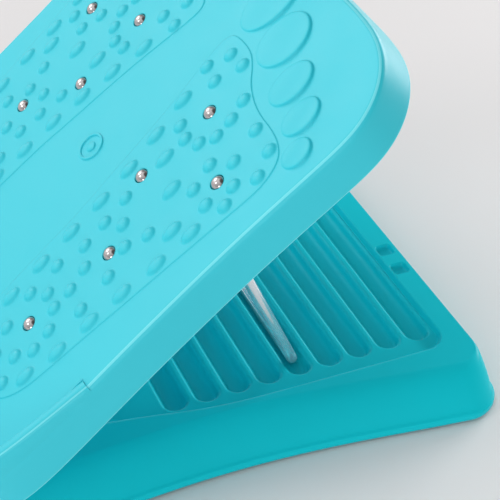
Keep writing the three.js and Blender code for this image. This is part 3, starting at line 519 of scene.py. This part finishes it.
WALL = [(-0.2, PANEL), (0.0, PANEL), (0.35, PANEL + 0.06), (0.8, PANEL + 0.25), (1.4, PANEL + 0.7), (2.2, PANEL + 1.45), (3.1, PANEL + 2.35), (3.9, PANEL + 3.05), (4.6, PANEL + 3.5), (5.3, PANEL + 3.8), (6.0, PANEL + 3.96), (6.6, BASE_TOP)]
PITS = ((286.8, -13), (286.8, -33))
PIT_PROF = [(5.65, 2.9, 0.0), (5.55, 2.85, 0.0), (5.35, 2.8, 0.1), (5.1, 2.7, 0.45), (4.85, 2.6, 1.1), (4.6, 2.4, 1.8), (4.2, 2.2, 2.4), (3.5, 1.9, 2.8), (2.6, 1.6, 3.0), (0.4, 0.2, 3.05)]
GPROF = [(9.0, 0.0), (8.75, 0.02), (8.25, 0.12), (7.7, 0.38), (7.15, 0.85), (6.72, 1.5), (6.42, 2.3), (6.15, 3.1), (5.7, 4.0), (5.0, 4.85), (4.0, 5.5), (2.8, 5.9), (1.4, 6.08), (0.2, GROOVE_DEPTH)]
END = GROOVE_END - 6


PANEL_TAPER = [(40, -21.5), (60, -16.8), (82, -12.9), (96, -10.4), (106, -8.3), (117, -5.7), (127, -3.7), (140, -1.9), (152, -0.9), (166, -0.2), (178, 0.1), (209, 0.9), (247, 1.7), (262, 1.7), (290, 1.7)]


def panel_ring(g, z):
    """The recess narrows towards the heel end; its wall is a soft ramp."""
    gy, gt = (g, g) if g <= 0 else (6.0 * g / 6.6, 0.3 * g)
    x0, x1, r1, r0 = PX0 - g, PX1 + gt, 9 + g * 0.9, 14 + g

    def side(x):
        for (xa, ha), (xb, hb) in zip(PANEL_TAPER, PANEL_TAPER[1:]):
            if x <= xb:
                return YP + gy + ha + (hb - ha) * (x - xa) / (xb - xa)
        return YP + gy + PANEL_TAPER[-1][1]
    half = [(x0 + r0 - r0 * math.cos(a), side(x0 + r0) - r0 + r0 * math.sin(a)) for a in [math.pi / 2 * k / 10 for k in range(11)]]
    lo, hi = x0 + r0, x1 - r1
    half += [(x, sum(side(x + d) for d in (-8, -4, 0, 4, 8)) / 5) for x in [lo + (hi - lo) * k / 28 for k in range(1, 28)]]
    half += [(x1 - r1 + r1 * math.sin(a), side(x1 - r1) - r1 + r1 * math.cos(a)) for a in [math.pi / 2 * k / 10 for k in range(11)]]
    return [(x, y, z) for x, y in both_sides(half)]


def base_tray():
    b = Build(P)
    rings = [tray_ring(X0 + h, X1 - t, s, c, z) for h, t, s, c, z in FLANK]
    b.loft(rings)
    b.cap([tray_ring(X0 + 4, X1 - 5, 12, 17, 12, False)], up=False)
    # Border: the flat crest with the panel and the two pits in it, the slope, and the low heel floor.
    crest = rings[-1]
    n = len(crest)
    near = [p for p in crest[:n // 2]]
    far = [p for p in crest[n // 2:]]
    front = [p for p in crest if p[0] >= 19 - 1e-6]
    heel = [p for p in crest if p[0] <= 13 + 1e-6]
    # crest runs heel to toe on the near side, then back on the far side
    heel_loop = [p for p in far if p[0] <= 13 + 1e-6] + [p for p in near if p[0] <= 13 + 1e-6]
    b.cap([front, panel_ring(6.6, BASE_TOP)] + [rounded(x - 5.65, x + 5.65, y - 5.65, y + 5.65, 2.9, BASE_TOP, n=6) for x, y in PITS])
    b.cap([heel_loop])
    sl_n = [p for p in near if 13 - 1e-6 <= p[0] <= 19 + 1e-6]
    sl_f = [p for p in far if 13 - 1e-6 <= p[0] <= 19 + 1e-6][::-1]
    k = len(sl_n)
    b.add(sl_n + sl_f, [(i, i + 1, k + i + 1, k + i) for i in range(k - 1)])
    # Panel wall, floor and troughs.
    b.loft([panel_ring(g, z) for g, z in WALL])
    loops = [panel_ring(-0.2, PANEL)]
    for i in range(9):
        x = MID_X + (i - 4) * PITCH
        loops.append(stadium(x, END, 9.0, PANEL))
        b.loft([stadium(x, END, w, PANEL - d) for w, d in GPROF], flip=True, cap1=True)
    b.cap(loops)
    for x, y in PITS:
        b.loft([rounded(x - h, x + h, y - h, y + h, r, BASE_TOP - d, n=6) for h, r, d in PIT_PROF], flip=True, cap1=True)
    # Three lugs that carry the hinge pin.
    for y in (-100, 0, 100):
        prof = [(-9.2, 16.9), (-8.4, 17.15), (-7.8, 18), (-6.9, 24), (-6.5, HINGE_Z)]
        prof += [(-6.5 * math.cos(a), HINGE_Z + 6.5 * math.sin(a)) for a in [math.pi * k / 18 for k in range(1, 18)]]
        prof += [(6.5, HINGE_Z), (6.9, 24), (7.8, 18), (8.4, 17.15), (9.2, 16.9)]
        c = (0.0, 24.0)
        rings2 = []
        for dy, sc in ((-7.0, 0.93), (-6.75, 0.975), (-6.3, 1.0), (6.3, 1.0), (6.75, 0.975), (7.0, 0.93)):
            rings2.append([(c[0] + (px - c[0]) * sc, y + dy, pz if pz < 17.2 else c[1] + (pz - c[1]) * sc) for px, pz in prof])
        m = len(prof)
        verts = [p for r in rings2 for p in r]
        faces = [(k * m + i, k * m + i + 1, (k + 1) * m + i + 1, (k + 1) * m + i) for k in range(5) for i in range(m - 1)]
        faces += [tuple(range(m)), tuple(range(5 * m, 6 * m))[::-1]]
        b.add(verts, faces)
    # Underside: ribs and the sockets of the rubber feet.
    def rib(xa, xb, ya, yb):
        e = 0.35
        b.loft([[(xa + d, ya + d, z), (xb - d, ya + d, z), (xb - d, yb - d, z), (xa + d, yb - d, z)] for d, z in ((e, 4), (0, 4 + e), (0, 12.4))], cap0=True)
    for x in (60, 140, 220):
        rib(x - 1.2, x + 1.2, -120, 120)
    for y in (-60, 0, 60):
        rib(-8, 290, y - 1.2, y + 1.2)
    for x, y in ((14, -112), (14, 112), (272, -118), (272, 118)):
        b.loft([circle(x, y, r, 48, z) for r, z in ((0.02, 5.0), (9.3, 5.0), (9.3, 2.1), (9.6, 1.8), (11.7, 1.8), (12, 2.1), (12, 12.4))])
    return b


tray = base_tray().object("base_tray_moulding", tray_mat, "base", ["base_tray"], "tray_plastic", sharp=35)

# ------------------------------------------------------------------ stand
D = (math.cos(TH), math.sin(TH))
pivot = Vector((PIVOT_S * D[0] - PIVOT_N * D[1], 0, PIVOT_S * D[1] + PIVOT_N * D[0] + HINGE_Z))
bar_c = Vector((MID_X, 0, PANEL - GROOVE_DEPTH + ROD_R + 0.3))
down = (bar_c - pivot).normalized()
ey = Vector((0, 1, 0))


def rod_points():
    pts = []

    def corner(c, f, t, r, steps):
        a = c - f * r
        centre = a + t * r
        for k in range(steps + 1):
            q = math.pi / 2 * k / steps
            pts.append(centre - t * r * math.cos(q) + f * r * math.sin(q))
    pts.append(pivot + ey * 60)
    pts.append(pivot + ey * 60.6)
    corner(pivot + ey * LEG_Y, ey, down, 5.5, 10)
    corner(bar_c + ey * LEG_Y, down, -ey, 7, 16)
    corner(bar_c - ey * LEG_Y, -ey, -down, 7, 16)
    corner(pivot - ey * LEG_Y, -down, ey, 5.5, 10)
    pts.append(pivot - ey * 60.6)
    pts.append(pivot - ey * 60)
    return pts


b = Build(lambda x, y, z: P(x, y, z))
pts = rod_points()
normal = down.cross(ey).normalized()
loops = []
for i, p in enumerate(pts):
    t = Vector((0, 0, 0))
    if i:
        t += (p - pts[i - 1]).normalized()
    if i + 1 < len(pts):
        t += (pts[i + 1] - p).normalized()
    t.normalize()
    side_v = t.cross(normal).normalized()
    r = ROD_R if 0 < i < len(pts) - 1 else ROD_R - 0.6
    loops.append([tuple(p + normal * r * math.cos(2 * math.pi * k / 32) + side_v * r * math.sin(2 * math.pi * k / 32)) for k in range(32)])
b.loft(loops, cap0=True, cap1=True)
b.object("stand_rod", chrome_mat, "stand", ["stand_bail"], "rod_chrome", sharp=50)

# ------------------------------------------------------------------ CAD nodes that stay
for name, ob in nodes.items():
    mat = None
    if name.startswith("ball_cup") or name.startswith("stand_saddle"):
        mat = cup_mat
    elif name.startswith("saddle_screw"):
        mat = screw_mat
    elif name == "hinge_pin":
        mat = pin_mat
    elif name.startswith("hinge_pin_cap"):
        mat = cap_mat
    elif name.startswith("rubber_foot"):
        mat = rubber_mat
    if mat:
        ob.data.materials.clear()
        ob.data.materials.append(mat)

# ------------------------------------------------------------------ stage, light and camera
me = bpy.data.meshes.new("floor")
S = 6.0
me.from_pydata([(-S, -S, -0.0004), (S, -S, -0.0004), (S, S, -0.0004), (-S, S, -0.0004)], [], [(0, 1, 2, 3)])
floor = bpy.data.objects.new("floor", me)
bpy.context.scene.collection.objects.link(floor)
fm, fnt, fbsdf = new_material("floor_pale")
ftex = fnt.nodes.new("ShaderNodeTexCoord")
fn = fnt.nodes.new("ShaderNodeTexNoise")
fn.inputs["Scale"].default_value = 3.0
fnt.links.new(ftex.outputs["Object"], fn.inputs["Vector"])
fmix = fnt.nodes.new("ShaderNodeMix")
fmix.data_type = "RGBA"
fmix.inputs["A"].default_value = srgb(224, 221, 221)
fmix.inputs["B"].default_value = srgb(246, 244, 244)
fsep = fnt.nodes.new("ShaderNodeSeparateXYZ")
fnt.links.new(ftex.outputs["Object"], fsep.inputs["Vector"])
# Painted light: the floor colour gets lighter towards the near side, standing in for light that the lamps don't bring
# there; the noise adds a faint random tone drift.
floor_painted_light_near = fnt.nodes.new("ShaderNodeMapRange")
floor_painted_light_near.interpolation_type = "SMOOTHSTEP"
floor_painted_light_near.inputs["From Min"].default_value = 0.25
floor_painted_light_near.inputs["From Max"].default_value = -0.30
fnt.links.new(fsep.outputs["Y"], floor_painted_light_near.inputs["Value"])
floor_drift_and_painted_light = fnt.nodes.new("ShaderNodeMath")
floor_drift_and_painted_light.operation = "MULTIPLY_ADD"
floor_drift_and_painted_light.inputs[1].default_value = 0.12
fnt.links.new(fn.outputs["Fac"], floor_drift_and_painted_light.inputs[0])
fnt.links.new(floor_painted_light_near.outputs["Result"], floor_drift_and_painted_light.inputs[2])
floor_drift_and_painted_light.use_clamp = True
fnt.links.new(floor_drift_and_painted_light.outputs["Value"], fmix.inputs["Factor"])
fnt.links.new(fmix.outputs["Result"], fbsdf.inputs["Base Color"])
fbsdf.inputs["Roughness"].default_value = 0.55
me.materials.append(fm)

world = bpy.data.worlds.new("studio")
bpy.context.scene.world = world
world.use_nodes = True
wnt = world.node_tree
wtex = wnt.nodes.new("ShaderNodeTexCoord")
wsep = wnt.nodes.new("ShaderNodeSeparateXYZ")
wnt.links.new(wtex.outputs["Generated"], wsep.inputs["Vector"])
wramp = wnt.nodes.new("ShaderNodeValToRGB")          # a room: darker low on the near side, bright behind and above
wramp.color_ramp.elements[0].position = 0.18
wramp.color_ramp.elements[0].color = (0.47, 0.47, 0.475, 1.0)
wramp.color_ramp.elements[1].position = 0.72
wramp.color_ramp.elements[1].color = (1.0, 1.0, 1.0, 1.0)
wadd = wnt.nodes.new("ShaderNodeMath")
wadd.operation = "MULTIPLY_ADD"
wadd.inputs[1].default_value = 0.42
wnt.links.new(wsep.outputs["Y"], wadd.inputs[0])
wz = wnt.nodes.new("ShaderNodeMath")
wz.operation = "MULTIPLY_ADD"
wz.inputs[1].default_value = 0.40
wz.inputs[2].default_value = 0.42
wnt.links.new(wsep.outputs["Z"], wz.inputs[0])
wnt.links.new(wz.outputs["Value"], wadd.inputs[2])
wnt.links.new(wadd.outputs["Value"], wramp.inputs["Fac"])
wdot = wnt.nodes.new("ShaderNodeVectorMath")         # a dark ceiling, towards the near right
wdot.operation = "DOT_PRODUCT"
wdot.inputs[1].default_value = (0.50, -0.26, 0.826)
wnt.links.new(wtex.outputs["Generated"], wdot.inputs[0])
wscreen = wnt.nodes.new("ShaderNodeMapRange")
wscreen.interpolation_type = "SMOOTHSTEP"
wscreen.inputs["From Min"].default_value = 0.72
wscreen.inputs["From Max"].default_value = 0.93
wscreen.inputs["To Min"].default_value = 1.0
wscreen.inputs["To Max"].default_value = 0.12
wnt.links.new(wdot.outputs["Value"], wscreen.inputs["Value"])
wdot2 = wnt.nodes.new("ShaderNodeVectorMath")        # a darker wall, behind on the right
wdot2.operation = "DOT_PRODUCT"
wdot2.inputs[1].default_value = (0.46, 0.66, 0.594)
wnt.links.new(wtex.outputs["Generated"], wdot2.inputs[0])
wwall = wnt.nodes.new("ShaderNodeMapRange")
wwall.interpolation_type = "SMOOTHSTEP"
wwall.inputs["From Min"].default_value = 0.80
wwall.inputs["From Max"].default_value = 0.96
wwall.inputs["To Min"].default_value = 1.0
wwall.inputs["To Max"].default_value = 0.35
wnt.links.new(wdot2.outputs["Value"], wwall.inputs["Value"])
wboth = wnt.nodes.new("ShaderNodeMath")
wboth.operation = "MULTIPLY"
wnt.links.new(wscreen.outputs["Result"], wboth.inputs[0])
wnt.links.new(wwall.outputs["Result"], wboth.inputs[1])
wmul = wnt.nodes.new("ShaderNodeVectorMath")
wmul.operation = "SCALE"
wnt.links.new(wramp.outputs["Color"], wmul.inputs[0])
wnt.links.new(wboth.outputs["Value"], wmul.inputs["Scale"])
wnt.links.new(wmul.outputs["Vector"], wnt.nodes["Background"].inputs["Color"])
wnt.nodes["Background"].inputs["Strength"].default_value = 1.05


def area(name, at_, target, size, power, colour=(1, 1, 1)):
    l = bpy.data.lights.new(name, "AREA")
    l.shape = "RECTANGLE"
    l.size, l.size_y = size
    l.energy = power
    l.color = colour
    o = bpy.data.objects.new(name, l)
    o.location = at_
    o.rotation_mode = "QUATERNION"
    o.rotation_quaternion = (Vector(target) - Vector(at_)).to_track_quat("-Z", "Y")
    bpy.context.scene.collection.objects.link(o)
    return o


area("key", (-0.9, 1.35, 1.35), (0.0, 0.0, 0.1), (1.3, 1.0), 10.6, (1.0, 1.0, 1.0))
area("left", (-1.6, -0.1, 1.35), (0.0, 0.0, 0.1), (0.6, 0.6), 5, (1.0, 1.0, 1.0))
area("side", (1.9, 0.75, 0.52), (0.10, 0.0, 0.02), (1.2, 0.2), 23, (1.0, 1.0, 1.0))
area("fill", (-0.5, -1.7, 0.38), (0.0, 0.0, 0.08), (1.3, 0.5), 7.6, (1.0, 1.0, 1.0))

cam = bpy.data.cameras.new("camera")
cam.sensor_width = 36.0
cam.lens = 110.16
camera = bpy.data.objects.new("camera", cam)
bpy.context.scene.collection.objects.link(camera)
right = Vector((0.9187, -0.3949, 0.0018))
up = -Vector((-0.2394, -0.5605, -0.7928))
back = -Vector((0.3141, 0.7280, -0.6095))
rot = Matrix((right, up, back)).transposed()
camera.matrix_world = Matrix.Translation(Vector(((-93.0 - ORIGIN_X) / 1000, -0.6792, 0.6105))) @ rot.to_4x4()
cam.clip_start, cam.clip_end = 0.05, 20
bpy.context.scene.camera = camera
bpy.context.scene.view_settings.view_transform = "Standard"
